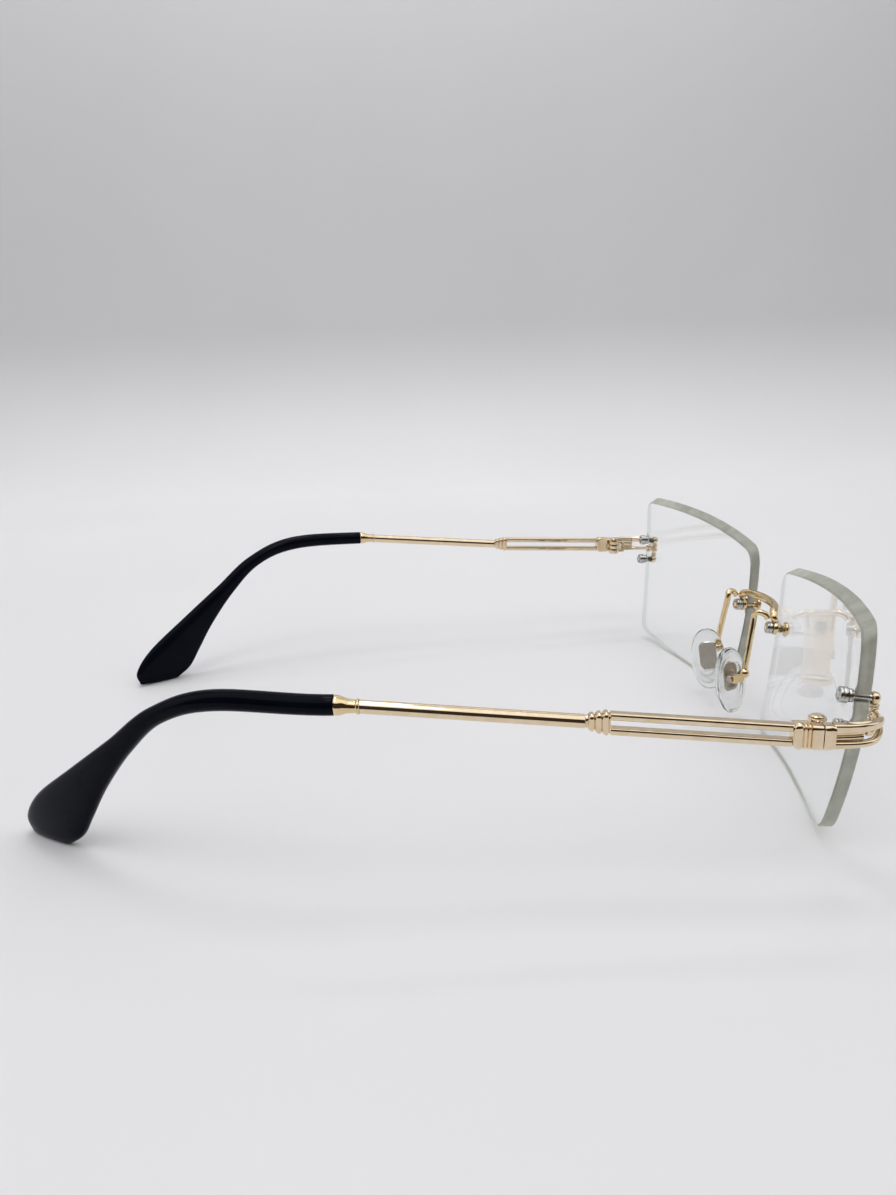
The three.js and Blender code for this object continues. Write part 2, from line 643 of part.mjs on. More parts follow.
// The origin is the middle of the footprint, on the surface the glasses rest on.
glasses.updateMatrixWorld(true);
const bounds = new THREE.Box3().setFromObject(glasses, true);
const centre = bounds.getCenter(new THREE.Vector3());
glasses.position.set(-centre.x, -centre.y, -bounds.min.z);

export default glasses;
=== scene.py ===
"""Rimless eyeglasses: fine surfaces, materials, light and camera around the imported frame.

Shapes are made in millimetres for the wearer's left half and mirrored for the right half.
"""
import json
import math

import bmesh
import bpy
from mathutils import Matrix, Vector


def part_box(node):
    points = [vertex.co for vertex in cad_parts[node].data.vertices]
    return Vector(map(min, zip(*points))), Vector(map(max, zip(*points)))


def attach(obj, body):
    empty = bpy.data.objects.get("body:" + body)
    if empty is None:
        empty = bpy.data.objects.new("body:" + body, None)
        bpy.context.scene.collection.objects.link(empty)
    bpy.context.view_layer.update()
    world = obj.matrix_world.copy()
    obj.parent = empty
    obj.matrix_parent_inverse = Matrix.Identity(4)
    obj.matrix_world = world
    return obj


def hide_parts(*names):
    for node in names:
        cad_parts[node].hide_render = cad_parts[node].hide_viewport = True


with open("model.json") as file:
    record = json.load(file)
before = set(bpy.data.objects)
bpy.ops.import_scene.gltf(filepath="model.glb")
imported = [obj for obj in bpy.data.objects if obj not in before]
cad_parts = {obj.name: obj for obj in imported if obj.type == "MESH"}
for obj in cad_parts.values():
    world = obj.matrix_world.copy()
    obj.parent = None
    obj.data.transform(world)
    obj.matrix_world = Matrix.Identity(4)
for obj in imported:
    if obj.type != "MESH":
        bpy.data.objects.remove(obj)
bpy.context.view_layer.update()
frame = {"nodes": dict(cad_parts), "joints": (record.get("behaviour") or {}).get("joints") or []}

MM = 0.001
SIDES = ("right", "left")

# ---- dimensions of the object, in millimetres ---------------------------
LENS_RADIUS = 154.0
LENS_THICK = 2.35
TOP_BEVEL = 1.25
LENS_CORNERS = (((9.15, 37.7), 3.6, 1.25), ((63.15, 41.75), 2.9, 1.35),
                ((58.9, 2.6), 3.2, 0.0), ((43.0, 0.0), 8.0, 0.0), ((10.9, 0.0), 4.2, 1.0))
LENS_MIDDLE = (36.0, 20.0)
STUD_R = 0.68
SLOT_R = 0.8
STUD_U = 26.35
UPPER_V = 7.85
LOWER_V = 2.15
NOSE_U = -26.3
NOSE_V = 3.5
GAP = 0.05

HINGE_Y = 9.4
BAR_OFFSET = 2.7
CAP_END = 1.9
COLLAR_END = 4.75
REAR_START = 32.7
REAR_END = 36.7
FERRULE_START = 71.9
TIP_START = 75.9
ROD_R = 1.14
KNUCKLE_R = 1.42
KNUCKLES = (24.25, 25.7, 26.95, 28.4)    # bottom, two joints, top
PLATE = (0.72, 1.45)              # faces of the hinge plates
LUG_BORE_R = 0.48
PIN_R = 0.42
STUD_REACH = 2.45                 # past the back of the lens
BAR_RISE = 1.25                   # of a bar above or below the temple's middle
UPPER_RAIL = 1.3
LOWER_RAIL = -1.5
WEB_RISE = 0.42
WEB_R = 0.48
TIP_BEND = 85.4                   # where the tip starts to bend inwards
PIN_AT = Vector((2.05, 0.0, 1.3))
BALL_AT = Vector((2.7, -2.0, 1.9))
BALL_R = 1.18


# ---- places, from the frame ---------------------------------------------
def corners(node):
    """The node's different vertices at rest, in millimetres."""
    seen = {tuple(round(c / MM, 4) for c in v.co) for v in frame["nodes"][node].data.vertices}
    return [Vector(p) for p in sorted(seen)]


def mean(points):
    return sum(points, Vector((0, 0, 0))) / len(points)


def ends(node):
    """Middle of the front end and of the back end of a straight piece."""
    points = corners(node)
    middle = mean(points).y
    return (mean([p for p in points if p.y < middle]), mean([p for p in points if p.y > middle]))


def placed(x_axis, y_axis, z_axis, origin):
    """The matrix of a local frame."""
    turn = Matrix((x_axis, y_axis, z_axis)).transposed().to_4x4()
    return Matrix.Translation(origin) @ turn


def sag(u, v, radius):
    return radius - math.sqrt(radius * radius - u * u - v * v)


def lens_front(u, v):
    return sag(u, v, LENS_RADIUS)


def lens_back(u, v):
    return LENS_THICK + sag(u, v, LENS_RADIUS - LENS_THICK)


def front_seat(u, v, r):
    return lens_front(abs(u) - r, abs(v) - r) - GAP


def back_seat(u, v, r):
    return lens_back(abs(u) + r, abs(v) + r) + GAP


def lens_place():
    """X across to the outside, Y back through the lens, Z up, from the middle of its front."""
    front, back = ends("upper_stud_left")
    low, _ = ends("lower_stud_left")
    y_axis = (back - front).normalized()
    up = front - low
    z_axis = (up - up.dot(y_axis) * y_axis).normalized()
    x_axis = y_axis.cross(z_axis)
    start = front_seat(STUD_U, UPPER_V, 1) + GAP
    return placed(x_axis, y_axis, z_axis,
                  front - x_axis * STUD_U - y_axis * start - z_axis * UPPER_V)


def joint(name):
    """Where a joint is, in millimetres, and its axis."""
    found = next(j for j in frame["joints"] if j["name"] == name)
    return Vector(found["pos_m"]) / MM, Vector(found["axis"]).normalized()


def temple_place():
    """Y back along the temple, X out, from the hinge axis at the height of the table."""
    hinge, _ = joint("temple_fold_left")
    front, back = ends("upper_bar_left")
    along = Vector((back.x - front.x, back.y - front.y, 0)).normalized()
    across = along.cross(Vector((0, 0, 1)))
    return placed(across, along, Vector((0, 0, 1)), Vector((hinge.x, hinge.y, 0)))


def pad_place():
    """X away from the nose, Y back along the pad's pin, Z up the pad, from its middle."""
    points = corners("nose_pad_left")
    pin, axis = joint("nose_pad_rock_left")
    top = max(points, key=lambda p: p.z)
    low = min(points, key=lambda p: p.z)
    up = top - low
    z_axis = (up - up.dot(axis) * axis).normalized()
    x_axis = axis.cross(z_axis)
    return placed(x_axis, axis, z_axis, pin - x_axis * PIN_AT.x - z_axis * PIN_AT.z)


LENS = lens_place()
TEMPLE = temple_place()
PAD = pad_place()
WORLD = Matrix.Identity(4)
SPLIT_Z = joint("temple_fold_left")[0].z
DATUM_Y = joint("temple_fold_left")[0].y - HINGE_Y
BAR_FRONT, BAR_BACK = ends("upper_bar_left")
BAR_PLAN = math.hypot(BAR_BACK.x - BAR_FRONT.x, BAR_BACK.y - BAR_FRONT.y)
RISE = (BAR_BACK.z - BAR_FRONT.z) / BAR_PLAN


def rise_at(y):
    return SPLIT_Z + RISE * y


# ---- mesh tools ---------------------------------------------------------
SMALL_STEP = 0.004                # along a curve, for its direction
STEEP = 0.15                      # rings this near to upright turn about X


class Shape:
    """Vertices, faces and a material number for each face, in local millimetres."""

    def __init__(self):
        self.points = []
        self.faces = []

    def skin(self, rings, slots=None):
        """Joins rings of equal length, and caps both ends."""
        count = len(rings[0])
        base = len(self.points)
        for ring in rings:
            self.points += [Vector(p) for p in ring]
        for i in range(len(rings) - 1):
            mat = slots[i] if slots else 0
            for k in range(count):
                a = base + i * count + k
                b = base + i * count + (k + 1) % count
                self.faces.append(((a, b, b + count, a + count), mat))
        last = base + (len(rings) - 1) * count
        self.faces.append((tuple(range(base, base + count))[::-1], slots[0] if slots else 0))
        self.faces.append((tuple(range(last, last + count)), slots[-1] if slots else 0))
        return self

    def turn(self, profile, place=WORLD, sides=40, mat=0):
        """A turned body around local Z: a profile of (radius, height) from axis to axis."""
        starts = []
        for radius, height in profile:
            starts.append(len(self.points))
            if radius < 1e-6:
                self.points.append(place @ Vector((0, 0, height)))
                continue
            for k in range(sides):
                a = 2 * math.pi * k / sides
                self.points.append(place @ Vector((radius * math.cos(a),
                                                   radius * math.sin(a), height)))
        for i in range(len(profile) - 1):
            low, high = starts[i], starts[i + 1]
            for k in range(sides):
                n = (k + 1) % sides
                if profile[i][0] < 1e-6:
                    self.faces.append(((low, high + n, high + k), mat))
                elif profile[i + 1][0] < 1e-6:
                    self.faces.append(((low + k, low + n, high), mat))
                else:
                    self.faces.append(((low + k, low + n, high + n, high + k), mat))

    def ring(self, profile, place=WORLD, sides=40, mat=0):
        """A turned ring: a closed profile of (radius, height) that stays off the axis."""
        base = len(self.points)
        count = len(profile)
        for k in range(sides):
            a = 2 * math.pi * k / sides
            for radius, height in profile:
                self.points.append(place @ Vector((radius * math.cos(a),
                                                   radius * math.sin(a), height)))
        for k in range(sides):
            n = (k + 1) % sides
            for i in range(count):
                j = (i + 1) % count
                self.faces.append(((base + k * count + i, base + n * count + i,
                                    base + n * count + j, base + k * count + j), mat))
        return self

    def box(self, x0, x1, y0, y1, z0, z1):
        """A block, as two rings along local Y."""
        square = ((x0, z0), (x1, z0), (x1, z1), (x0, z1))
        return self.skin([[(x, y, z) for x, z in square] for y in (y0, y1)])


def rounded(half_x, half_z, corner, steps=6):
    """A rounded rectangle across a piece."""
    r = min(corner, half_x, half_z)
    points = []
    for quarter, (sx, sz) in enumerate(((1, 1), (-1, 1), (-1, -1), (1, -1))):
        for k in range(steps + 1):
            a = math.pi / 2 * (quarter + k / steps)
            points.append((sx * (half_x - r) + r * math.cos(a),
                           sz * (half_z - r) + r * math.sin(a)))
    return points


def circle(radius, sides=28):
    return [(radius * math.cos(2 * math.pi * k / sides),
             radius * math.sin(2 * math.pi * k / sides)) for k in range(sides)]


def along_y(stations):
    """Rings of a piece along local Y, from stations (y, x, z, outline)."""
    return [[(x + a, y, z + c) for a, c in outline] for y, x, z, outline in stations]


def spline(points, t):
    """A point on the smooth curve through the given points, t from 0 to 1."""
    last = len(points) - 1
    place = min(t * last, last - 1e-9)
    i = int(place)
    s = place - i
    a, b = points[i], points[i + 1]
    before = points[i - 1] if i > 0 else a * 2 - b
    after = points[i + 2] if i + 2 <= last else b * 2 - a
    return (b - before) * (0.5 * (s ** 3 - 2 * s * s + s)) \
        + a * (2 * s ** 3 - 3 * s * s + 1) + b * (3 * s * s - 2 * s ** 3) \
        + (after - a) * (0.5 * (s ** 3 - s * s))


def swept(points, steps, outline_at):
    """Rings that follow a curve and stay upright."""
    rings = []
    for i in range(steps + 1):
        t = i / steps
        at = spline(points, t)
        ahead = spline(points, min(1.0, t + SMALL_STEP))
        behind = spline(points, max(0.0, t - SMALL_STEP))
        along = (ahead - behind).normalized()
        side = Vector((0, 0, 1)).cross(along)
        if side.length < STEEP:
            side = Vector((1, 0, 0))
        side.normalize()
        up = along.cross(side).normalized()
        rings.append([at + side * a + up * c for a, c in outline_at(t)])
    return rings


def smooth_profile(points, steps=5):
    """A finer profile on the smooth curve through (radius, height) points."""
    flat = [Vector((r, h, 0)) for r, h in points]
    count = (len(points) - 1) * steps
    curve = [spline(flat, i / count) for i in range(count + 1)]
    return [(max(0.0, p.x), p.y) for p in curve]


def bead(at, low, high, half, steps=8):
    """Part of a profile: a round bead around height at."""
    return [(low + (high - low) * math.sin(math.pi * k / steps),
             at - half * math.cos(math.pi * k / steps)) for k in range(steps + 1)]


def through_lens(u, v):
    """Local Z of a turned piece along the lens axis at a stud."""
    return LENS @ Matrix.Translation((u, 0, v)) @ Matrix.Rotation(-math.pi / 2, 4, "X")


def along_pin():
    """Local Z of a turned piece along the pad's pin."""
    return PAD @ Matrix.Translation(PIN_AT) @ Matrix.Rotation(-math.pi / 2, 4, "X")


def build(name, shape, side, place=WORLD, sharp=38.0, bevel=0.0):
    """A mesh object from a shape, mirrored for the right side."""
    flip = -1 if side == "right" else 1
    mesh = bpy.data.meshes.new(name)
    mesh.from_pydata([], [], [])
    bm = bmesh.new()
    made = []
    for p in shape.points:
        q = place @ p
        made.append(bm.verts.new((q.x * flip * MM, q.y * MM, q.z * MM)))
    bm.verts.ensure_lookup_table()
    for face, mat in shape.faces:
        order = face if flip > 0 else face[::-1]
        new = bm.faces.new([made[i] for i in order])
        new.material_index = mat
        new.smooth = True
    bmesh.ops.recalc_face_normals(bm, faces=bm.faces)
    limit = math.radians(sharp)
    for edge in bm.edges:
        if len(edge.link_faces) == 2 and edge.calc_face_angle(0.0) > limit:
            edge.smooth = False
    bm.to_mesh(mesh)
    bm.free()
    piece = bpy.data.objects.new(name, mesh)
    bpy.context.scene.collection.objects.link(piece)
    if bevel:
        soft = piece.modifiers.new("soft edges", "BEVEL")
        soft.width = bevel * MM
        soft.segments = 3
        soft.limit_method = "ANGLE"
        soft.angle_limit = math.radians(35)
        soft.harden_normals = True
    return piece


def cut_out(piece, cutter):
    """Cuts one object out of another and applies the result."""
    work = piece.modifiers.new("cut", "BOOLEAN")
    work.operation = "DIFFERENCE"
    work.solver = "EXACT"
    work.object = cutter
    graph = bpy.context.evaluated_depsgraph_get()
    mesh = bpy.data.meshes.new_from_object(piece.evaluated_get(graph))
    piece.modifiers.remove(work)
    piece.data = mesh
    bpy.data.objects.remove(cutter)


def finished(piece, body, nodes, materials):
    """Gives a piece its materials and its body, and hides the CAD nodes it stands in for."""
    if not piece.data.materials:
        for material in materials:
            piece.data.materials.append(material)
    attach(piece, body)
    if nodes:
        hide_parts(*nodes)


# ---- materials ----------------------------------------------------------
class Nodes:
    """A short way to write a node material."""

    def __init__(self, name):
        self.material = bpy.data.materials.new(name)
        self.material.use_nodes = True
        self.tree = self.material.node_tree
        self.tree.nodes.clear()
        self.out = self.tree.nodes.new("ShaderNodeOutputMaterial")

    def add(self, kind, inputs=None, **settings):
        node = self.tree.nodes.new(kind)
        for key, value in settings.items():
            setattr(node, key, value)
        for key, value in (inputs or {}).items():
            socket = node.inputs[key]
            if isinstance(value, bpy.types.NodeSocket):
                self.tree.links.new(value, socket)
            else:
                socket.default_value = value
        return node

    def place(self, scale=(1, 1, 1)):
        """Object coordinates in millimetres, stretched."""
        where = self.add("ShaderNodeTexCoord")
        return self.add("ShaderNodeMapping", {
            "Vector": where.outputs["Object"],
            "Scale": tuple(s / MM for s in scale)}).outputs["Vector"]

    def noise(self, scale, detail=3.0, stretch=(1, 1, 1), rough=0.55):
        return self.add("ShaderNodeTexNoise", {
            "Vector": self.place(stretch), "Scale": scale, "Detail": detail,
            "Roughness": rough}).outputs["Fac"]

    def span(self, value, low, high, start=0.3, stop=0.7):
        """Maps a noise value onto a range."""
        return self.add("ShaderNodeMapRange", {
            "Value": value, "From Min": start, "From Max": stop,
            "To Min": low, "To Max": high}).outputs["Result"]

    def tint(self, value, stops):
        ramp = self.add("ShaderNodeValToRGB", {"Fac": value})
        ramp.color_ramp.elements[0].position = stops[0][0]
        ramp.color_ramp.elements[0].color = (*stops[0][1], 1)
        ramp.color_ramp.elements[1].position = stops[-1][0]
        ramp.color_ramp.elements[1].color = (*stops[-1][1], 1)
        for at, color in stops[1:-1]:
            ramp.color_ramp.elements.new(at).color = (*color, 1)
        return ramp.outputs["Color"]

    def bump(self, height, strength, distance):
        return self.add("ShaderNodeBump", {
            "Height": height, "Strength": strength,
            "Distance": distance * MM}).outputs["Normal"]

    def shader(self, **inputs):
        named = {key.replace("_", " "): value for key, value in inputs.items()}
        return self.add("ShaderNodeBsdfPrincipled", named)

    def light_passes(self, shader, tint):
        """Lets light through to what lies behind, in place of a black shadow."""
        path = self.add("ShaderNodeLightPath")
        clear = self.add("ShaderNodeBsdfTransparent", {"Color": (*tint, 1)})
        mix = self.add("ShaderNodeMixShader", {0: path.outputs["Is Shadow Ray"],
                                               1: shader, 2: clear.outputs[0]})
        return mix.outputs[0]

    def done(self, shader):
        self.tree.links.new(shader, self.out.inputs["Surface"])
        return self.material


def polished_metal(name, bright, deep, rough):
    """Plated metal: cloudy plating, fine polishing marks and small dents in the shine."""
    m = Nodes(name)
    cloud = m.noise(0.55, 4)
    color = m.tint(cloud, ((0.25, deep), (0.75, bright)))
    marks = m.noise(2.4, 4, (1.0, 0.3, 1.0))
    roughness = m.span(marks, rough * 0.7, rough * 1.5)
    ripple = m.noise(0.35, 2)
    scratch = m.noise(5.0, 4, (1.0, 0.2, 1.0), 0.6)
    low = m.bump(ripple, 0.12, 0.03)
    fine = m.add("ShaderNodeBump", {"Height": scratch, "Strength": 0.05,
                                    "Distance": 0.003 * MM, "Normal": low})
    return m.done(m.shader(Base_Color=color, Metallic=1.0, Roughness=roughness,
                           Normal=fine.outputs["Normal"]).outputs[0])


def ground_metal(name):
    """Satin steel of the plates inside the nose pads."""
    m = Nodes(name)
    grain = m.noise(7.0, 5, (1.0, 1.0, 0.15), 0.7)
    color = m.tint(grain, ((0.3, (0.40, 0.36, 0.30)), (0.7, (0.62, 0.57, 0.49))))
    return m.done(m.shader(Base_Color=color, Metallic=0.85, Roughness=m.span(grain, 0.34, 0.5),
                           Normal=m.bump(grain, 0.3, 0.02)).outputs[0])


def lens_face():
    """Polished clear plastic, with a faint unevenness in its shine."""
    m = Nodes("lens clear")
    smear = m.noise(0.06, 3)
    glass = m.shader(Base_Color=(0.985, 0.992, 0.985, 1), Roughness=m.span(smear, 0.0, 0.03),
                     IOR=1.5, Specular_IOR_Level=0.3, Transmission_Weight=1.0,
                     Normal=m.bump(m.noise(0.035, 1), 0.06, 0.05))
    return m.done(m.light_passes(glass.outputs[0], (0.955, 0.965, 0.955)))


def lens_edge():
    """Ground edge: matt grey green with grinding lines, pale when seen from inside the lens."""
    m = Nodes("lens ground edge")
    cloud = m.noise(0.35, 4)
    color = m.tint(cloud, ((0.3, (0.44, 0.45, 0.375)), (0.5, (0.53, 0.54, 0.46)),
                           (0.75, (0.63, 0.64, 0.57))))
    lines = m.noise(6.0, 4, (1.0, 0.1, 1.0), 0.7)
    edge = m.shader(Base_Color=color, Roughness=m.span(lines, 0.38, 0.6), IOR=1.5,
                    Transmission_Weight=0.35, Normal=m.bump(lines, 0.25, 0.02))
    inside = m.add("ShaderNodeNewGeometry").outputs["Backfacing"]
    pale = m.add("ShaderNodeBsdfTransparent", {"Color": (0.84, 0.86, 0.84, 1)})
    both = m.add("ShaderNodeMixShader", {0: inside, 1: edge.outputs[0], 2: pale.outputs[0]})
    return m.done(m.light_passes(both.outputs[0], (0.74, 0.75, 0.72)))


def silicone():
    """Clear soft plastic with tiny bubbles and a waxy skin."""
    m = Nodes("pad silicone")
    skin = m.noise(2.2, 4)
    soft = m.shader(Base_Color=(0.93, 0.94, 0.935, 1), Roughness=m.span(skin, 0.05, 0.16),
                    IOR=1.41, Transmission_Weight=1.0, Normal=m.bump(skin, 0.12, 0.03))
    return m.done(m.light_passes(soft.outputs[0], (0.86, 0.87, 0.865)))


def black_tip():
    """Glossy black plastic with a light orange peel: near black is its own colour, and the blue
    tint is a painted reflection of bluish surroundings, spread at random over the tip.
    """
    m = Nodes("tip black")
    cloud = m.noise(0.12, 3)
    # painted reflection: the blue in both tones stands in for the bluish surroundings that the flat
    # blade mirrors; the near black underneath is the plastic's own colour
    color = m.tint(cloud, ((0.3, (0.0022, 0.003, 0.0062)), (0.7, (0.004, 0.0053, 0.0105))))
    peel = m.noise(1.6, 3)
    dust = m.noise(7.0, 5, (1, 1, 1), 0.75)
    return m.done(m.shader(Base_Color=color, Roughness=m.span(dust, 0.07, 0.16, 0.35, 0.7),
                           IOR=1.45, Specular_IOR_Level=0.06,
                           Normal=m.bump(peel, 0.06, 0.02)).outputs[0])


def floor_paint():
    """Pale matt sheet with a very faint mottle."""
    m = Nodes("floor sheet")
    where = m.add("ShaderNodeTexCoord")
    mottle = m.add("ShaderNodeTexNoise", {"Vector": where.outputs["Object"], "Scale": 9.0,
                                          "Detail": 4.0})
    color = m.tint(mottle.outputs["Fac"], ((0.3, (0.80, 0.80, 0.815)), (0.7, (0.82, 0.82, 0.833))))
    return m.done(m.shader(Base_Color=color, Roughness=0.55,
                           Specular_IOR_Level=0.35).outputs[0])


GOLD = polished_metal("gold pale", (0.85, 0.715, 0.52), (0.74, 0.59, 0.39), 0.05)
DEEP_GOLD = polished_metal("gold yellow", (0.84, 0.68, 0.42), (0.70, 0.52, 0.28), 0.065)
SILVER = polished_metal("steel bright", (0.62, 0.62, 0.60), (0.42, 0.42, 0.40), 0.18)
STEEL = ground_metal("steel satin")
CLEAR = lens_face()
EDGE = lens_edge()
SOFT = silicone()
BLACK = black_tip()


# ---- lens and what holds it ---------------------------------------------
def lens_outline(around=12, along=16):
    """Front outline of the left lens as (x, z): soft corners and slightly bulging edges."""
    points = []
    for i, (here, r, bulge) in enumerate(LENS_CORNERS):
        there, next_r, _ = LENS_CORNERS[(i + 1) % len(LENS_CORNERS)]
        before, _, last_bulge = LENS_CORNERS[i - 1]

        def on_edge(a, b, out, s):
            dx, dz = b[0] - a[0], b[1] - a[1]
            length = math.hypot(dx, dz)
            push = out * 4 * s * (1 - s)
            return Vector((a[0] + dx * s - dz / length * push,
                           a[1] + dz * s + dx / length * push))

        ahead = math.dist(here, there)
        behind = math.dist(before, here)
        start = on_edge(before, here, last_bulge, 1 - r / behind)
        stop = on_edge(here, there, bulge, r / ahead)
        for k in range(around):
            t = k / around
            points.append(start * (1 - t) ** 2 + Vector(here) * (2 * t * (1 - t)) + stop * t * t)
        for k in range(along):
            s = r / ahead + (1 - (r + next_r) / ahead) * k / along
            points.append(on_edge(here, there, bulge, s))
    return points


def make_lens(side):
    """Two curved faces and a ground edge with a narrow bevel on each side."""
    centre = LENS @ Vector((0, LENS_RADIUS, 0))
    front = lens_outline()
    lean = math.sin(math.atan2(LENS[1][0], LENS[0][0])) * LENS_THICK
    mid_x, mid_z = LENS_MIDDLE

    def drop(z):
        return z - TOP_BEVEL * (z - mid_z) / mid_z if z > mid_z else z

    def outline_at(depth):
        """The outline part of the way through the lens, 0 at the front and 1 at the back."""
        return [(x - lean * depth, z + (drop(z) - z) * depth) for x, z in front]

    def ring(outline, scale, radius, back=0.0):
        points = []
        for x, z in outline:
            px = mid_x + (x - mid_x) * scale
            pz = mid_z + (z - mid_z) * scale
            deep = math.sqrt(radius ** 2 - (px - centre.x) ** 2 - (pz - centre.z) ** 2)
            points.append((px, centre.y - deep + back, pz))
        return points

    inner = LENS_RADIUS - LENS_THICK
    inset = 1 - 0.16 / 27
    steps = [0.06 + 0.94 * k / 11 for k in range(12)]
    rings = [ring(outline_at(0), s * inset, LENS_RADIUS) for s in steps]
    slots = [0] * 11
    cuts = (0.07, 0.5, 0.86)
    for depth in cuts:
        outline = outline_at(depth)
        rings.append(ring(outline, 1.0, LENS_RADIUS - LENS_THICK * depth))
    rings += [ring(outline_at(1), s * (1 - 0.3 / 27), inner) for s in reversed(steps)]
    slots += [1, 1, 1, 1] + [0] * 11
    piece = build(f"lens_{side}", Shape().skin(rings, slots), side, sharp=14)
    for u, v, way in ((STUD_U, UPPER_V, 3), (STUD_U, LOWER_V, 3), (NOSE_U, NOSE_V, -3)):
        slot = Shape()
        half = math.pi / 2
        start = half if way > 0 else -half
        arc = [(u + SLOT_R * math.cos(start + math.pi * k / 12),
                v + SLOT_R * math.sin(start + math.pi * k / 12)) for k in range(13)]
        arc += [(u + way, arc[-1][1]), (u + way, arc[0][1])]
        slot.skin([[(x, y, z) for x, z in arc] for y in (-3, 9)], slots=[1])
        cutter = build("cutter", slot, side, LENS)
        cutter.data.materials.append(CLEAR)
        cutter.data.materials.append(EDGE)
        if not piece.data.materials:
            piece.data.materials.append(CLEAR)
            piece.data.materials.append(EDGE)
        cut_out(piece, cutter)
    finished(piece, "front", [f"lens_{side}"], [CLEAR, EDGE])


def make_stud(side, which, v):
    """Grooved stud with a domed end, its tapered sleeve, and a nut with a rolled rim."""
    start = front_seat(STUD_U, v, 1) + GAP
    seat = back_seat(STUD_U, v, 1)
    place = through_lens(STUD_U, v)
    stud = Shape()
    end = seat + STUD_REACH
    profile = [(0, start), (STUD_R, start)]
    grooves = 9
    for k in range(grooves):
        at = start + 0.25 + (end - start - 0.75) * k / grooves
        profile += [(STUD_R, at), (STUD_R - 0.05, at + 0.12), (STUD_R, at + 0.24)]
    profile += [(STUD_R, end - 0.25), (STUD_R * 0.8, end - 0.08), (0.2, end), (0, end - 0.02)]
    stud.turn(profile, place)
    finished(build(f"{which}_stud_{side}", stud, side), "front",
             [f"{which}_stud_{side}"], [SILVER])
    sleeve = Shape().ring([(0.76, seat), (1.04, seat), (1.12, seat + 0.08), (1.2, seat + 0.6),
                           (1.14, seat + 0.75), (0.76, seat + 0.75)], place)
    finished(build(f"{which}_sleeve_{side}", sleeve, side), "front",
             [f"{which}_sleeve_{side}"], [SILVER])
    make_nut(f"{which}_nut", side, place, seat + 0.8, 1.6)


def make_nut(name, side, place, start, length):
    """Round nut with a groove, a rolled rim and a dished end."""
    nut = Shape().ring([(0.76, start), (1.16, start), (1.34, start + 0.14), (1.38, start + 0.3),
                        (1.38, start + length * 0.45), (1.3, start + length * 0.52),
                        (1.38, start + length * 0.6), (1.37, start + length * 0.78),
                        (1.24, start + length * 0.93), (1.02, start + length),
                        (0.86, start + length * 0.95), (0.76, start + length * 0.86)], place)
    finished(build(f"{name}_{side}", nut, side), "front", [f"{name}_{side}"],
             [SILVER])


def make_yoke(side):
    """Beaded column with a domed eyelet at each end, on the front of the lens."""
    yoke = Shape()
    half = (UPPER_V - LOWER_V) / 2
    profile = [(0, -half), (0.5, -half)]
    for at in (-1.62, -1.12):
        profile += bead(at, 0.5, 0.79, 0.24)
    profile += bead(0, 0.52, 0.94, 0.62, 14)
    for at in (1.12, 1.62):
        profile += bead(at, 0.5, 0.79, 0.24)
    profile += [(0.5, half), (0, half)]
    middle = Vector((STUD_U, 1.42, (UPPER_V + LOWER_V) / 2))
    yoke.turn(profile, LENS @ Matrix.Translation(middle), 36)
    for v in (UPPER_V, LOWER_V):
        back = front_seat(STUD_U, v, 1)
        dome = smooth_profile([(0, back - 1.45), (0.42, back - 1.4), (0.8, back - 1.2),
                               (1.02, back - 0.85), (1.09, back - 0.5)], 4)
        yoke.turn(dome + [(1.09, back - 0.22), (0.98, back - 0.12), (1.05, back - 0.02),
                          (0.98, back), (0, back)], through_lens(STUD_U, v), 36)
    finished(build(f"lens_yoke_{side}", yoke, side), "front",
             [f"lens_yoke_{side}"], [GOLD])


# ---- bridge -------------------------------------------------------------
BRIDGE_SEAT = back_seat(NOSE_U, NOSE_V, 1.2)


def make_bridge():
    """Wire that arches forward between the lenses, with an eyelet behind each lens."""
    lo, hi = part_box("bridge")
    eye = LENS @ Vector((NOSE_U, BRIDGE_SEAT + 0.3, NOSE_V + 1.35))
    y = lo.y / MM
    top = hi.z / MM
    half = [eye, Vector((9.45, y + 3.8, top - 2.02)), Vector((8.0, y + 3.25, top - 1.17)),
            Vector((4.4, y + 1.6, top - 1.0))]
    path = half + [Vector((0, y + 1.0, top - 1.0))]
    path += [Vector((-p.x, p.y, p.z)) for p in reversed(half)]
    wire = Shape().skin(swept(path, 96, lambda t: circle(
        0.58 + 0.4 * math.sin(math.pi * t) ** 0.6)))
    for flip in (1, -1):
        mirror = Matrix.Diagonal((flip, 1, 1, 1))
        seat = BRIDGE_SEAT
        wire.ring([(0.76, seat), (1.38, seat), (1.5, seat + 0.14), (1.52, seat + 0.45),
                   (1.5, seat + 0.76), (1.38, seat + 0.9), (0.76, seat + 0.9)],
                  mirror @ through_lens(NOSE_U, NOSE_V))
    finished(build("bridge_wire", wire, "left"), "front", ["bridge"], [DEEP_GOLD])


def make_bridge_screw(side):
    """Screw with a ball head in front of the lens and its nut behind."""
    seat = front_seat(NOSE_U, NOSE_V, 1.5)
    head = smooth_profile([(0, seat - 1.3), (0.75, seat - 1.22), (1.35, seat - 0.95),
                           (1.7, seat - 0.5), (1.64, seat - 0.14), (1.5, seat - 0.02)], 5)
    screw = Shape()
    screw.turn(head + [(1.45, seat), (STUD_R, seat), (STUD_R, BRIDGE_SEAT + STUD_REACH - 0.2),
                       (0.5, BRIDGE_SEAT + STUD_REACH), (0, BRIDGE_SEAT + STUD_REACH)],
               through_lens(NOSE_U, NOSE_V))
    finished(build(f"bridge_screw_{side}", screw, side), "front",
             [f"bridge_screw_{side}"], [DEEP_GOLD])
    make_nut("bridge_nut", side, through_lens(NOSE_U, NOSE_V), BRIDGE_SEAT + 0.95, 1.5)


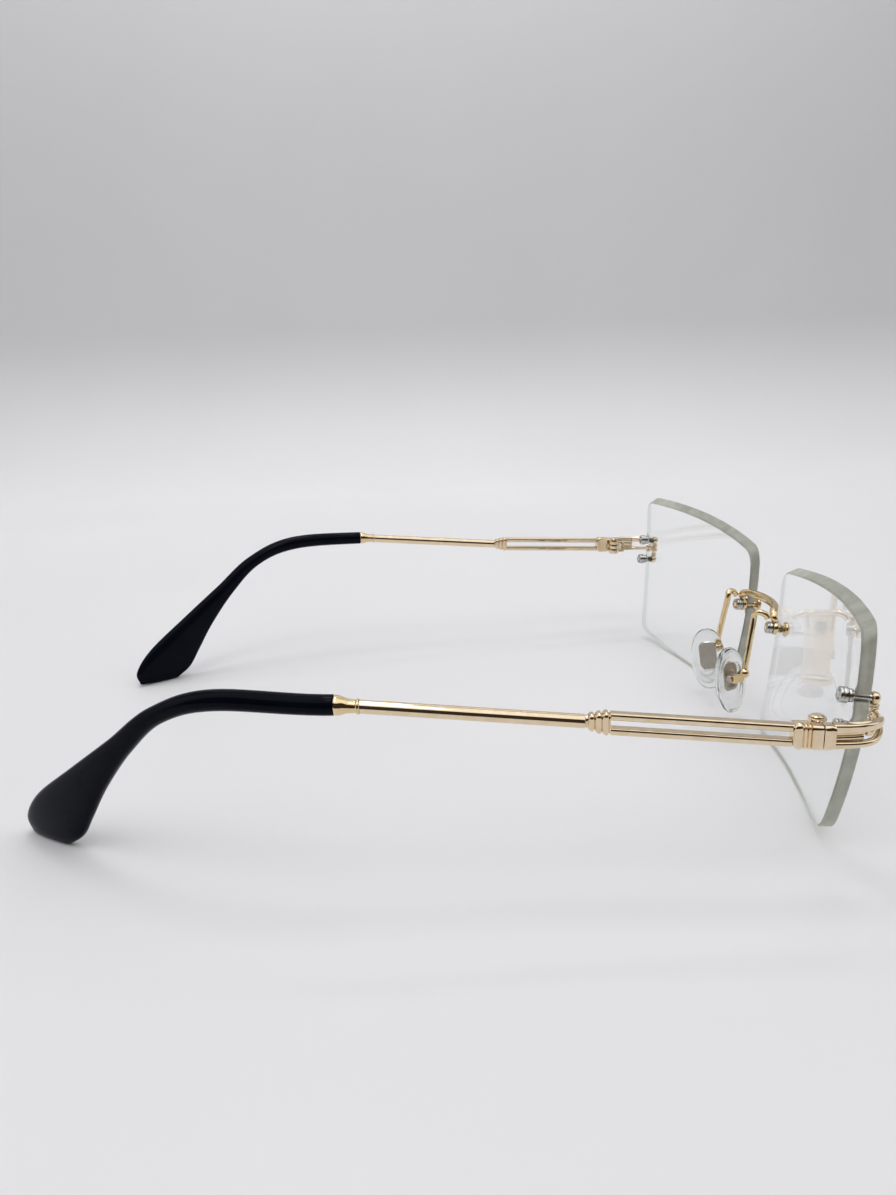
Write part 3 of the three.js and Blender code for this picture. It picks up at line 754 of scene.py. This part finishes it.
# ---- nose pads ----------------------------------------------------------
def make_pad(side):
    """Clear pad: domed towards the nose, with a raised rim around its metal plate."""
    half_x, half_y, half_z = 1.4, 4.0, 8.0
    across = 72
    rings = []

    def loop(scale, x):
        points = []
        for k in range(across):
            a = 2 * math.pi * k / across
            c, s = math.cos(a), math.sin(a)
            points.append((x, half_y * scale * math.copysign(abs(c) ** 0.9, c),
                           half_z * scale * math.copysign(abs(s) ** 0.94, s)))
        return points

    for k in range(1, 15):
        a = math.pi / 2 * k / 14
        rings.append(loop(0.985 * math.sin(a), -half_x * 0.96 * math.cos(a)))
    for scale, x in ((0.985, 0.2), (0.97, 0.5), (0.93, 0.74), (0.87, 0.86), (0.8, 0.86),
                     (0.74, 0.76), (0.69, 0.6), (0.62, 0.52), (0.3, 0.5), (0.04, 0.5)):
        rings.append(loop(scale, x))
    pad = build(f"nose_pad_{side}", Shape().skin(rings), side, PAD, sharp=60)
    pocket = Shape().skin([[(x, a, b + 1.0) for a, b in rounded(1.96, 3.46, 1.5, 8)]
                           for x in (-0.07, 2.0)])
    cut_out(pad, build("cutter", pocket, side, PAD))
    finished(pad, f"nose_pad_{side}", [f"nose_pad_{side}"], [SOFT])


def make_insert(side):
    """Oval plate with a raised rim, and the lug that the pin goes through."""
    insert = Shape()
    layers = ((1.0, -0.02), (1.0, 0.3), (0.97, 0.5), (0.9, 0.6), (0.72, 0.6), (0.68, 0.5))
    insert.skin([[(x, a * s, b * s + 1.0) for a, b in rounded(1.9, 3.4, 1.5, 8)]
                 for s, x in layers])
    lug = rounded(0.72, 0.75, 0.3, 4)
    insert.skin([[(x, a, b + 1.3) for a, b in lug] for x in (0.4, 2.45)]
                + [[(2.6, a * 0.8, b * 0.8 + 1.3) for a, b in lug]])
    piece = build(f"pad_insert_{side}", insert, side, PAD)
    bore = Shape()
    bore.turn([(0, -2), (LUG_BORE_R, -2), (LUG_BORE_R, 2), (0, 2)], along_pin(), 24)
    cut_out(piece, build("cutter", bore, side))
    finished(piece, f"nose_pad_{side}", [f"pad_insert_{side}"], [STEEL])


def make_mount(side):
    """Ball at the foot of the pad arm, and the small fork that holds the pad's lug."""
    mount = Shape()
    mount.box(1.72, 3.5, -1.35, 1.35, 0.35, 2.25)
    piece = build(f"pad_mount_{side}", mount, side, PAD, bevel=0.16)
    hollow = Shape().box(1.5, 2.95, -0.8, 0.8, 0.2, 2.4)
    cut_out(piece, build("cutter", hollow, side, PAD))
    bore = Shape()
    bore.turn([(0, -2.2), (LUG_BORE_R, -2.2), (LUG_BORE_R, 2.2), (0, 2.2)], along_pin(), 24)
    cut_out(piece, build("cutter", bore, side))
    finished(piece, "front", [f"pad_mount_{side}"], [DEEP_GOLD])
    ball = Shape()
    ball.turn([(BALL_R * math.sin(math.pi * k / 20), -BALL_R * math.cos(math.pi * k / 20))
               for k in range(21)], PAD @ Matrix.Translation(BALL_AT), 36)
    piece = build(f"pad_ball_{side}", ball, side)
    room = Shape().box(1.4, 2.95, -0.8, 0.8, -0.2, 2.6)
    cut_out(piece, build("cutter", room, side, PAD))
    bore = Shape()
    bore.turn([(0, -3.4), (0.88, -3.4), (0.88, -1.36), (LUG_BORE_R, -1.36),
               (LUG_BORE_R, 2.2), (0, 2.2)], along_pin(), 24)
    cut_out(piece, build("cutter", bore, side))
    finished(piece, "front", [], [DEEP_GOLD])
    pin = Shape()
    pin.turn([(0, -1.3), (PIN_R, -1.3), (PIN_R, 1.4), (0.7, 1.4), (0.8, 1.5), (0.78, 1.72),
              (0.6, 1.85), (0, 1.85)], along_pin())
    finished(build(f"pad_screw_{side}", pin, side), "front",
             [f"pad_screw_{side}"], [STEEL])


def make_arm(side):
    """Wire from the bridge's eyelet, over a bend, down to the ball."""
    ball = PAD @ BALL_AT
    lo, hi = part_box("pad_arm_left")
    top_z = hi.z / MM
    top = Vector((8.1, DATUM_Y - 4.05, 26.3))
    down = (top - ball).normalized()
    start = lo.y / MM + 0.6
    path = [Vector((9.55, start, 26.25)), Vector((9.45, start + 0.5, top_z - 1.17)),
            Vector((9.1, start + 1.5, top_z - 0.67)), Vector((8.5, start + 2.25, top_z - 0.92)),
            top, top.lerp(ball, 0.3), top.lerp(ball, 0.65), ball + down * (BALL_R + 0.02)]
    arm = Shape().skin(swept(path, 64, lambda t: circle(0.68)))
    finished(build(f"pad_arm_{side}", arm, side), "front",
             [f"pad_arm_{side}"], [DEEP_GOLD])


# ---- endpiece and hinge -------------------------------------------------
def make_endpiece(side):
    """Block at the hinge, an upper and a lower rail around the corner, a beaded web."""
    end = Shape()
    block = rounded(1.2, 2.1, 0.75)
    neck = rounded(1.1, 1.95, 0.7)
    rings = along_y([(-GAP, BAR_OFFSET, SPLIT_Z, rounded(1.12, 2.02, 0.7)),
                     (-GAP - 0.08, BAR_OFFSET, SPLIT_Z, block),
                     (-1.25, BAR_OFFSET, SPLIT_Z, block), (-1.5, BAR_OFFSET, SPLIT_Z, neck),
                     (-1.8, BAR_OFFSET, SPLIT_Z, neck)])
    end.skin([[TEMPLE @ Vector(p) for p in ring] for ring in rings])
    shift = DATUM_Y
    boss = LENS @ Vector((STUD_U + 0.97, 1.42, (UPPER_V + LOWER_V) / 2))

    def rail(rise, half_x, half_z, corner, groove):
        path = [Vector((70.05, shift + 8.1, SPLIT_Z + rise)),
                Vector((70.3, shift + 5.4, SPLIT_Z + rise)),
                Vector((70.2, shift + 2.9, SPLIT_Z + rise)),
                Vector((69.3, shift + 0.75, SPLIT_Z + rise * 0.94)),
                Vector((67.3, shift - 1.0, SPLIT_Z + rise * 0.72)),
                Vector((65.0, shift - 2.15, 25.9 + rise * 0.45)),
                boss + Vector((0.05, 0, rise * 0.2))]

        def section(t):
            small = 1 - 0.35 * t
            outline = rounded(half_x * small, half_z * small, corner, 6)
            if not groove:
                return outline
            depth = 0.3 * math.sin(math.pi * min(1, max(0, (t - 0.12) / 0.42))) ** 0.5
            return [(a, c - depth * max(0, 1 - (a / (0.55 * half_x)) ** 2) if c > 0 else c)
                    for a, c in densified(outline)]

        end.skin(swept(path, 56, section))

    rail(UPPER_RAIL, 0.8, 0.82, 0.42, True)
    rail(LOWER_RAIL, 0.72, 0.6, 0.42, False)
    for z in (WEB_RISE, -WEB_RISE):
        web = [Vector((69.85, shift + 8.3, SPLIT_Z + z)), Vector((70.02, shift + 5.4, SPLIT_Z + z)),
               Vector((69.95, shift + 3.2, SPLIT_Z + z))]
        end.skin(swept(web, 10, lambda t: circle(WEB_R, 20)))
    finished(build(f"endpiece_{side}", end, side), "front",
             [f"endpiece_{side}"], [GOLD])


def densified(outline, steps=4):
    """The same outline with more points on it."""
    points = []
    for i, (x, z) in enumerate(outline):
        nx, nz = outline[(i + 1) % len(outline)]
        points += [(x + (nx - x) * k / steps, z + (nz - z) * k / steps) for k in range(steps)]
    return points


def make_hinge(side):
    """Two leaves whose barrels share one screw."""
    bottom, low, high, top = KNUCKLES

    def barrel(shape, a, b):
        shape.turn([(0, a), (KNUCKLE_R - 0.14, a), (KNUCKLE_R - 0.03, a + 0.04),
                    (KNUCKLE_R, a + 0.14), (KNUCKLE_R, b - 0.14), (KNUCKLE_R - 0.03, b - 0.04),
                    (KNUCKLE_R - 0.14, b), (0, b)], WORLD, 48)

    leaf = Shape()
    barrel(leaf, bottom, low - GAP)
    barrel(leaf, high + GAP, top)
    front = build(f"hinge_front_leaf_{side}", leaf, side, TEMPLE)
    finished(front, "front", [f"hinge_front_leaf_{side}"], [GOLD])
    plate = Shape().box(*PLATE, -3.6, -0.05, bottom, top - 0.75)
    piece = build(f"hinge_front_plate_{side}", plate, side, TEMPLE, bevel=0.12)
    room = Shape().box(-2, 2, -KNUCKLE_R - 0.25, 2, low - GAP, high + GAP)
    cut_out(piece, build("cutter", room, side, TEMPLE))
    finished(piece, "front", [], [GOLD])
    leaf = Shape()
    barrel(leaf, low, high)
    finished(build(f"hinge_temple_leaf_{side}", leaf, side, TEMPLE), f"temple_{side}",
             [f"hinge_temple_leaf_{side}"], [GOLD])
    plate = Shape().box(*PLATE, 0.3, 2.4, low, high)
    plate.box(*PLATE, KNUCKLE_R + 0.3, 4.3, SPLIT_Z - 1.6, SPLIT_Z + 1.9)
    finished(build(f"hinge_temple_plate_{side}", plate, side, TEMPLE, bevel=0.1),
             f"temple_{side}", [], [GOLD])
    head = Shape()
    head.turn([(0, bottom), (0.6, bottom), (0.6, top + GAP), (0.98, top + GAP),
               (1.08, top + 0.12), (1.06, top + 0.24), (0.9, top + 0.36), (0.6, top + 0.4),
               (0, top + 0.41)])
    piece = build(f"hinge_screw_{side}", head, side, TEMPLE)
    slot = Shape().box(-1.3, 1.3, -0.15, 0.15, top + 0.24, top + 1)
    cut_out(piece, build("cutter", slot, side, TEMPLE))
    finished(piece, "front", [f"hinge_screw_{side}"], [GOLD])


# ---- temple -------------------------------------------------------------
def collar_piece(name, stations, side):
    """A ribbed collar, from stations (place, half thickness, half height)."""
    rings = along_y([(y, BAR_OFFSET, rise_at(y), rounded(a, c, 0.75, 8)) for y, a, c in stations])
    body = f"temple_{side}"
    finished(build(f"{name}_{side}", Shape().skin(rings), side, TEMPLE, sharp=50), body,
             [f"{name}_{side}"], [GOLD])


def rib(start, length, low, high, lean=0.0, steps=7):
    """Stations of one rounded rib, low and high as (half thickness, half height)."""
    stations = []
    for k in range(steps + 1):
        t = k / steps
        swell = math.sin(math.pi * t ** (1 + lean)) ** 0.7
        stations.append((start + length * t, low[0] + (high[0] - low[0]) * swell,
                         low[1] + (high[1] - low[1]) * swell))
    return stations


def make_front_collar(side):
    """Plain cap, two narrow ribs and a wide wedge rib towards the bars."""
    stations = [(GAP, 1.1, 2.0), (GAP + 0.1, 1.2, 2.1), (CAP_END - 0.1, 1.2, 2.1)]
    for i in range(2):
        stations += rib(CAP_END + i * 0.62 + 0.02, 0.58, (0.94, 1.8), (1.25, 2.16))
    stations += rib(CAP_END + 1.28, 1.35, (0.94, 1.8), (1.26, 2.24), -0.35, 10)
    stations += [(COLLAR_END - 0.12, 1.0, 1.84), (COLLAR_END - GAP, 0.97, 1.8)]
    collar_piece("front_collar", stations, side)


def make_rear_collar(side):
    """Three ribs that step down towards the rod."""
    stations = [(REAR_START + GAP, 0.98, 1.82)]
    for i, (a, c) in enumerate(((1.16, 2.0), (1.12, 1.8), (1.08, 1.52))):
        start = REAR_START + 0.3 + i * 1.12
        stations += rib(start, 1.06, (a - 0.3, c - 0.42), (a, c), -0.3, 9)
    stations += [(REAR_END - 0.08, 0.86, 1.02), (REAR_END - GAP, 0.8, 0.95)]
    collar_piece("rear_collar", stations, side)


def make_bar(side, which, rise):
    """One of the two slim bars, with a soft raised ridge along its outer face."""
    outline = []
    for a, c in densified(rounded(0.82, 0.6, 0.3, 5), 3):
        outline.append((a + (0.05 * math.cos(c / 0.6 * math.pi / 2) if a > 0.5 else 0), c))
    count = 24
    rings = along_y([(COLLAR_END + (REAR_START - COLLAR_END) * k / count, BAR_OFFSET,
                      rise_at(COLLAR_END + (REAR_START - COLLAR_END) * k / count) + rise,
                      outline) for k in range(count + 1)])
    finished(build(f"{which}_bar_{side}", Shape().skin(rings), side, TEMPLE), f"temple_{side}",
             [f"{which}_bar_{side}"], [GOLD])


def rod_middle(y):
    """Middle of the rod and the ferrule, as (x, z)."""
    t = (y - REAR_END) / (TIP_START - REAR_END)
    return BAR_OFFSET + 2.48 * t, rise_at(REAR_END) + 4.0 * t


def round_stations(stations):
    return along_y([(y, *rod_middle(y), circle(r, 36)) for y, r in stations])


def make_rod(side):
    steps = 30
    reach = FERRULE_START - GAP - REAR_END - GAP
    stations = [(REAR_END + GAP + reach * k / steps, ROD_R - 0.03 * k / steps)
                for k in range(steps + 1)]
    finished(build(f"temple_rod_{side}", Shape().skin(round_stations(stations)), side, TEMPLE),
             f"temple_{side}", [f"temple_rod_{side}"], [GOLD])


def make_ferrule(side):
    """Collar ring, narrow throat and a flare that meets the tip."""
    start = FERRULE_START
    stations = [(start, 1.12)] + [(start + 0.62 * k / 8, 1.08 + 0.22 * math.sin(
        math.pi * k / 8)) for k in range(1, 9)]
    stations += [(start + 0.8, 1.09), (start + 1.6, 1.14)]
    stations += [(start + 1.6 + 2.0 * k / 10, 1.14 + 0.5 * (0.5 - 0.5 * math.cos(
        math.pi * k / 10))) for k in range(1, 11)]
    stations += [(TIP_START - 0.2, 1.67), (TIP_START - GAP, 1.6)]
    finished(build(f"ferrule_{side}", Shape().skin(round_stations(stations)), side, TEMPLE,
                   sharp=60), f"temple_{side}", [f"ferrule_{side}"], [DEEP_GOLD])


# Upper and lower edge of the tip in side view, as (y, z), back from the lenses' middle.
TIP_EDGES = (((85.4, 34.7), (85.4, 31.3)), ((105, 34.9), (104, 31.4)),
             ((116.4, 30.7), (114.2, 28.2)), ((125.2, 23.5), (121.4, 21.5)),
             ((134.0, 16.4), (127.4, 13.6)), ((142.6, 9.2), (131.3, 7.0)),
             ((146.3, 3.8), (133.9, 2.6)), ((145.9, 0.28), (137.0, 0.03)))


def tip_x(y):
    """How the tip bends inwards behind the ear."""
    back = max(0.0, y - TIP_BEND)
    return 63.4 - 0.057 * back - 0.0207 * back ** 1.7


def make_tip(side):
    """Round where it takes the rod, then a flat flared blade with a rounded end."""
    into = TEMPLE.inverted()
    steps = 70
    pairs = []
    for i in range(steps + 1):
        pair = [spline([Vector((0, *edge[k])) for edge in TIP_EDGES], i / steps)
                for k in (0, 1)]
        pairs.append([into @ Vector((tip_x(p.y), p.y + DATUM_Y, p.z)) for p in pair])
    start_x, start_z = rod_middle(TIP_START)
    shift = Vector((start_x, TIP_START + GAP, start_z)) - (pairs[0][0] + pairs[0][1]) / 2
    for i, pair in enumerate(pairs):
        ease = max(0.0, 1 - i / (steps * 2 / 7))
        pair[0] += shift * ease
        pair[1] += shift * ease
    middles = [(a + b) / 2 for a, b in pairs]
    rings = []
    for i, (upper, lower) in enumerate(pairs):
        t = i / steps
        along = middles[min(i + 1, steps)] - middles[max(i - 1, 0)]
        half = (upper - lower) / 2
        across = half.cross(along).normalized()
        if across.x < 0:
            across.negate()
        thick = (1.7 + 0.2 * t) * math.sqrt(1 - (max(0.0, t - 0.7) / 0.33) ** 2)
        flat = min(1.0, max(0.0, (t - 0.2) / 0.4))
        power = 1 - 0.3 * flat
        ring = []
        for k in range(40):
            a = 2 * math.pi * k / 40
            c, s = math.cos(a), math.sin(a)
            ring.append(middles[i] + across * thick * math.copysign(abs(c) ** power, c)
                        + half * math.copysign(abs(s) ** (1 - 0.12 * flat), s))
        rings.append(ring)
    mouth = middles[0]
    lip = [[mouth + (p - mouth) * 0.9 for p in rings[0]],
           [mouth + (p - mouth) * 0.98 + Vector((0, 0.06, 0)) for p in rings[0]]]
    rings[0] = [p + Vector((0, 0.2, 0)) for p in rings[0]]
    end = rings[-1]
    tail = mean(end)
    last_step = (middles[-1] - middles[-2]).normalized()
    closing = [[tail + (p - tail) * s + last_step * d for p in end]
               for s, d in ((0.8, 0.1), (0.5, 0.16), (0.2, 0.18))]
    shape = Shape().skin(lip + rings + closing)
    lowest = min((TEMPLE @ p).z for p in shape.points)
    for p in shape.points:
        p.z += max(0.0, 0.02 - lowest) * max(0.0, 1 - p.z / 4)
    finished(build(f"temple_tip_{side}", shape, side, TEMPLE, sharp=60), f"temple_{side}",
             [f"temple_tip_{side}", f"core_wire_{side}"], [BLACK])


for side in SIDES:
    make_lens(side)
    make_stud(side, "upper", UPPER_V)
    make_stud(side, "lower", LOWER_V)
    make_yoke(side)
    make_bridge_screw(side)
    make_pad(side)
    make_insert(side)
    make_mount(side)
    make_arm(side)
    make_endpiece(side)
    make_hinge(side)
    make_front_collar(side)
    make_rear_collar(side)
    make_bar(side, "upper", BAR_RISE)
    make_bar(side, "lower", -BAR_RISE)
    make_rod(side)
    make_ferrule(side)
    make_tip(side)
make_bridge()


# ---- floor, light and camera --------------------------------------------
FLOOR_Z = -0.0001
SHEET_EDGE = -0.185
SHEET_REACH = 1.6
SWEEP_START = 0.35
SWEEP_RADIUS = 0.10


def make_floor():
    """A pale sheet that curves up into a backdrop on the far side."""
    rings = []
    for k in range(41):
        rings.append((SHEET_EDGE + (SWEEP_START - SHEET_EDGE) * k / 40, FLOOR_Z))
    for k in range(1, 17):
        a = math.pi / 2 * k / 16
        rings.append((SWEEP_START + SWEEP_RADIUS * math.sin(a),
                      FLOOR_Z + SWEEP_RADIUS * (1 - math.cos(a))))
    rings.append((SWEEP_START + SWEEP_RADIUS, SHEET_REACH))
    mesh = bpy.data.meshes.new("floor_sheet")
    points = [(x, y, z) for x, z in rings for y in (-SHEET_REACH, SHEET_REACH)]
    faces = [(2 * i, 2 * i + 1, 2 * i + 3, 2 * i + 2) for i in range(len(rings) - 1)]
    mesh.from_pydata(points, [], faces)
    for face in mesh.polygons:
        face.use_smooth = True
    floor = bpy.data.objects.new("floor_sheet", mesh)
    bpy.context.scene.collection.objects.link(floor)
    mesh.materials.append(floor_paint())


def make_world():
    """Even pale light, with a dark patch beyond the right temple for reflections."""
    world = bpy.data.worlds.new("room")
    bpy.context.scene.world = world
    world.use_nodes = True
    tree = world.node_tree
    tree.nodes.clear()
    out = tree.nodes.new("ShaderNodeOutputWorld")
    back = tree.nodes.new("ShaderNodeBackground")
    where = tree.nodes.new("ShaderNodeTexCoord")
    split = tree.nodes.new("ShaderNodeSeparateXYZ")
    tree.links.new(where.outputs["Generated"], split.inputs[0])

    def smooth(value, low, high):
        node = tree.nodes.new("ShaderNodeMapRange")
        node.interpolation_type = "SMOOTHSTEP"
        tree.links.new(value, node.inputs["Value"])
        node.inputs["From Min"].default_value = low
        node.inputs["From Max"].default_value = high
        return node.outputs["Result"]

    def times(a, b):
        node = tree.nodes.new("ShaderNodeMath")
        node.operation = "MULTIPLY"
        tree.links.new(a, node.inputs[0])
        tree.links.new(b, node.inputs[1])
        return node.outputs[0]

    side = smooth(split.outputs["X"], -0.30, -0.45)
    over = smooth(split.outputs["Z"], 0.68, 0.62)
    under = smooth(split.outputs["Z"], -0.62, -0.52)
    patch = times(times(side, over), under)
    sky = tree.nodes.new("ShaderNodeValToRGB")
    sky.color_ramp.elements[0].color = (0.44, 0.44, 0.455, 1)
    sky.color_ramp.elements[1].color = (1.0, 1.0, 1.015, 1)
    tree.links.new(smooth(split.outputs["Z"], -0.1, 0.9), sky.inputs[0])
    mix = tree.nodes.new("ShaderNodeMix")
    mix.data_type = "RGBA"
    path = tree.nodes.new("ShaderNodeLightPath")
    hidden = tree.nodes.new("ShaderNodeMath")
    hidden.operation = "SUBTRACT"
    hidden.inputs[0].default_value = 1.0
    tree.links.new(path.outputs["Is Camera Ray"], hidden.inputs[1])
    tree.links.new(times(patch, hidden.outputs[0]), mix.inputs["Factor"])
    tree.links.new(sky.outputs[0], mix.inputs["A"])
    mix.inputs["B"].default_value = (0.035, 0.026, 0.02, 1)
    tree.links.new(mix.outputs["Result"], back.inputs["Color"])
    back.inputs["Strength"].default_value = 1.22
    tree.links.new(back.outputs[0], out.inputs[0])


def area_light(name, at, target, size, power):
    """A rectangular light that faces its target."""
    lamp = bpy.data.lights.new(name, "AREA")
    lamp.shape = "RECTANGLE"
    lamp.size, lamp.size_y = size
    lamp.energy = power
    holder = bpy.data.objects.new(name, lamp)
    bpy.context.scene.collection.objects.link(holder)
    holder.location = at
    holder.rotation_euler = (Vector(target) - Vector(at)).to_track_quat("-Z", "Y").to_euler()


CAMERA_AT = Vector((-0.19493, 0.074018 + DATUM_Y * MM, 0.086931))
CAMERA_YAW = -0.053
CAMERA_PITCH = 0.276
CAMERA_ROLL = -0.031
CAMERA_LENS = 27.04
PANEL = (0.22, 0.3)               # size of an overhead light


def make_camera():
    """Low beside the wearer's right temple, looking across at both lenses."""
    cam = bpy.data.cameras.new("camera")
    cam.lens = CAMERA_LENS
    cam.sensor_width = 36.0
    cam.sensor_fit = "AUTO"
    cam.clip_start = 0.005
    holder = bpy.data.objects.new("camera", cam)
    bpy.context.scene.collection.objects.link(holder)
    forward = Vector((math.cos(CAMERA_YAW) * math.cos(CAMERA_PITCH),
                      math.sin(CAMERA_YAW) * math.cos(CAMERA_PITCH), -math.sin(CAMERA_PITCH)))
    right = forward.cross(Vector((0, 0, 1))).normalized()
    up = right.cross(forward)
    c, s = math.cos(CAMERA_ROLL), math.sin(CAMERA_ROLL)
    across = right * c + up * s
    upright = up * c - right * s
    holder.matrix_world = placed(across, upright, -forward, CAMERA_AT)
    bpy.context.scene.camera = holder


make_floor()
make_world()
area_light("overhead near", (-0.38, 0.0, 1.05), (0, 0, 0), PANEL, 0.85)
area_light("overhead far", (0.26, 0.0, 1.15), (0, 0, 0), PANEL, 1.4)
area_light("backdrop wash", (0.30, 0.0, 0.52), (0.45, 0, 0.30), (0.7, 0.12), 0.6)
make_camera()
bpy.context.scene.view_settings.view_transform = "Standard"
